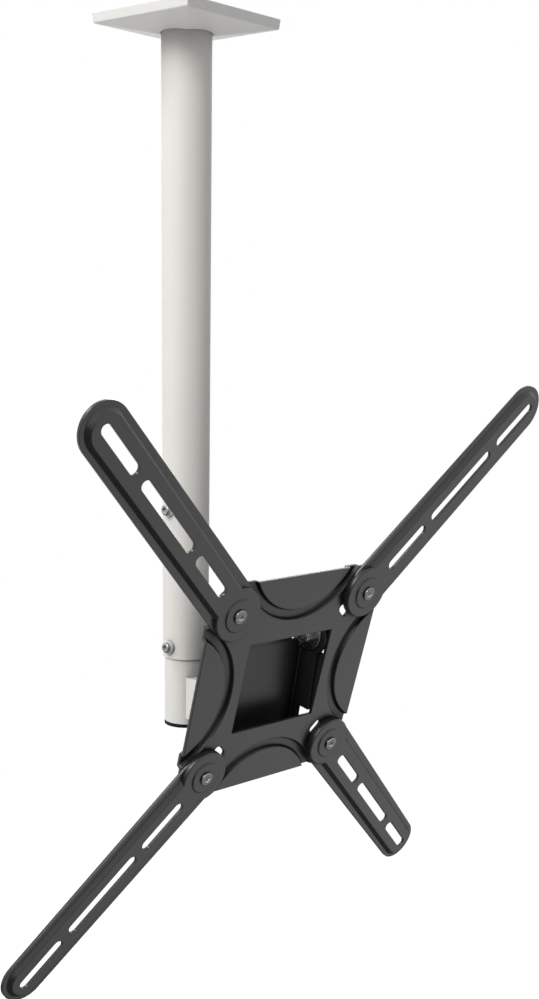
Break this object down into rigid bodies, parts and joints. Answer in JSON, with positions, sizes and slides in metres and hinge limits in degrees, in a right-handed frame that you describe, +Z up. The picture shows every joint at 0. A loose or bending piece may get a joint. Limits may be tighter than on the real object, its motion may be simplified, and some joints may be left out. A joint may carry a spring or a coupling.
{
  "type": "television ceiling mount",
  "caption": "Ceiling pole mount for a flat screen: telescopic pole, swivel and tilt head, formed plate and hinged slotted arms.",
  "frame": {"origin": "on the pole's axis in the ceiling plane, the centre of the ceiling plate's bolt pattern", "axes": "+Z up towards the ceiling, -Y towards the screen side, +X to the right seen from the screen"},
  "size_m": [0.444, 0.234, 0.6676],
  "materials": {
    "white_steel": "satin powder coat",
    "white_cover": "satin powder coat",
    "black_steel": "fine black powder coat",
    "black_plastic": "matt",
    "zinc_steel": "bright zinc"
  },
  "bodies": {
    "ceiling_mount": {"ceiling_plate": "white_steel", "outer_tube": "white_steel", "lock_boss_upper": "white_steel", "lock_boss_lower": "white_steel"},
    "cover": {"ceiling_cover": "white_cover"},
    "upper_lock": {"lock_screw_upper": "zinc_steel"},
    "lower_lock": {"lock_screw_lower": "zinc_steel"},
    "drop_pole": {"inner_tube": "white_steel", "end_cap": "black_plastic", "pole_bracket": "white_steel"},
    "swivel_head": {"swivel_yoke": "black_steel", "swivel_bolt": "zinc_steel", "swivel_washer_upper": "black_plastic", "swivel_washer_lower": "black_plastic", "swivel_nut": "zinc_steel", "tilt_bolt_left": "zinc_steel", "tilt_spacer_left": "black_plastic", "tilt_washer_left": "zinc_steel", "tilt_nut_left": "zinc_steel", "tilt_bolt_right": "zinc_steel", "tilt_spacer_right": "black_plastic", "tilt_washer_right": "zinc_steel", "tilt_nut_right": "zinc_steel"},
    "screen_side": {"screen_plate": "black_steel", "tilt_bracket": "black_steel", "pivot_bolt_upper_left": "zinc_steel", "pivot_spacer_upper_left": "zinc_steel", "pivot_nut_upper_left": "zinc_steel", "pivot_bolt_upper_right": "zinc_steel", "pivot_spacer_upper_right": "zinc_steel", "pivot_nut_upper_right": "zinc_steel", "pivot_bolt_lower_right": "zinc_steel", "pivot_spacer_lower_right": "zinc_steel", "pivot_nut_lower_right": "zinc_steel", "pivot_bolt_lower_left": "zinc_steel", "pivot_spacer_lower_left": "zinc_steel", "pivot_nut_lower_left": "zinc_steel"},
    "arm_upper_left": {"arm_upper_left": "black_steel"},
    "arm_upper_right": {"arm_upper_right": "black_steel"},
    "arm_lower_right": {"arm_lower_right": "black_steel"},
    "arm_lower_left": {"arm_lower_left": "black_steel"}
  },
  "joints": [
    {"name": "cover_slide", "type": "slide", "parent": "ceiling_mount", "child": "cover", "axis": [0, 0, -1], "range_m": [0, 0.25]},
    {"name": "upper_lock_turn", "type": "hinge", "parent": "ceiling_mount", "child": "upper_lock", "pos_m": [-0.0204, 0, -0.3412], "axis": [-1, 0, 0], "continuous": true},
    {"name": "lower_lock_turn", "type": "hinge", "parent": "ceiling_mount", "child": "lower_lock", "pos_m": [-0.0204, 0, -0.4485], "axis": [-1, 0, 0], "continuous": true},
    {"name": "pole_height", "type": "slide", "parent": "ceiling_mount", "child": "drop_pole", "axis": [0, 0, -1], "range_m": [-0.012, 0.3]},
    {"name": "head_swivel", "type": "hinge", "parent": "drop_pole", "child": "swivel_head", "pos_m": [-0.00366, -0.04184, -0.489], "axis": [0, 0, 1], "range_deg": [-45, 45]},
    {"name": "head_tilt", "type": "hinge", "parent": "swivel_head", "child": "screen_side", "pos_m": [-0.00839, -0.09585, -0.43089], "axis": [0.9962, -0.0872, 0], "range_deg": [-20, 5]},
    {"name": "arm_upper_left_turn", "type": "hinge", "parent": "screen_side", "child": "arm_upper_left", "pos_m": [-0.07627, -0.12604, -0.39503], "axis": [-0.0841, -0.9618, -0.2605], "range_deg": [-45, 45]},
    {"name": "arm_upper_right_turn", "type": "hinge", "parent": "screen_side", "child": "arm_upper_right", "pos_m": [0.05323, -0.13737, -0.39503], "axis": [-0.0841, -0.9618, -0.2605], "range_deg": [-45, 45]},
    {"name": "arm_lower_right_turn", "type": "hinge", "parent": "screen_side", "child": "arm_lower_right", "pos_m": [0.05618, -0.10363, -0.52054], "axis": [-0.0841, -0.9618, -0.2605], "range_deg": [-45, 45]},
    {"name": "arm_lower_left_turn", "type": "hinge", "parent": "screen_side", "child": "arm_lower_left", "pos_m": [-0.07332, -0.0923, -0.52054], "axis": [-0.0841, -0.9618, -0.2605], "range_deg": [-45, 45]}
  ]
}
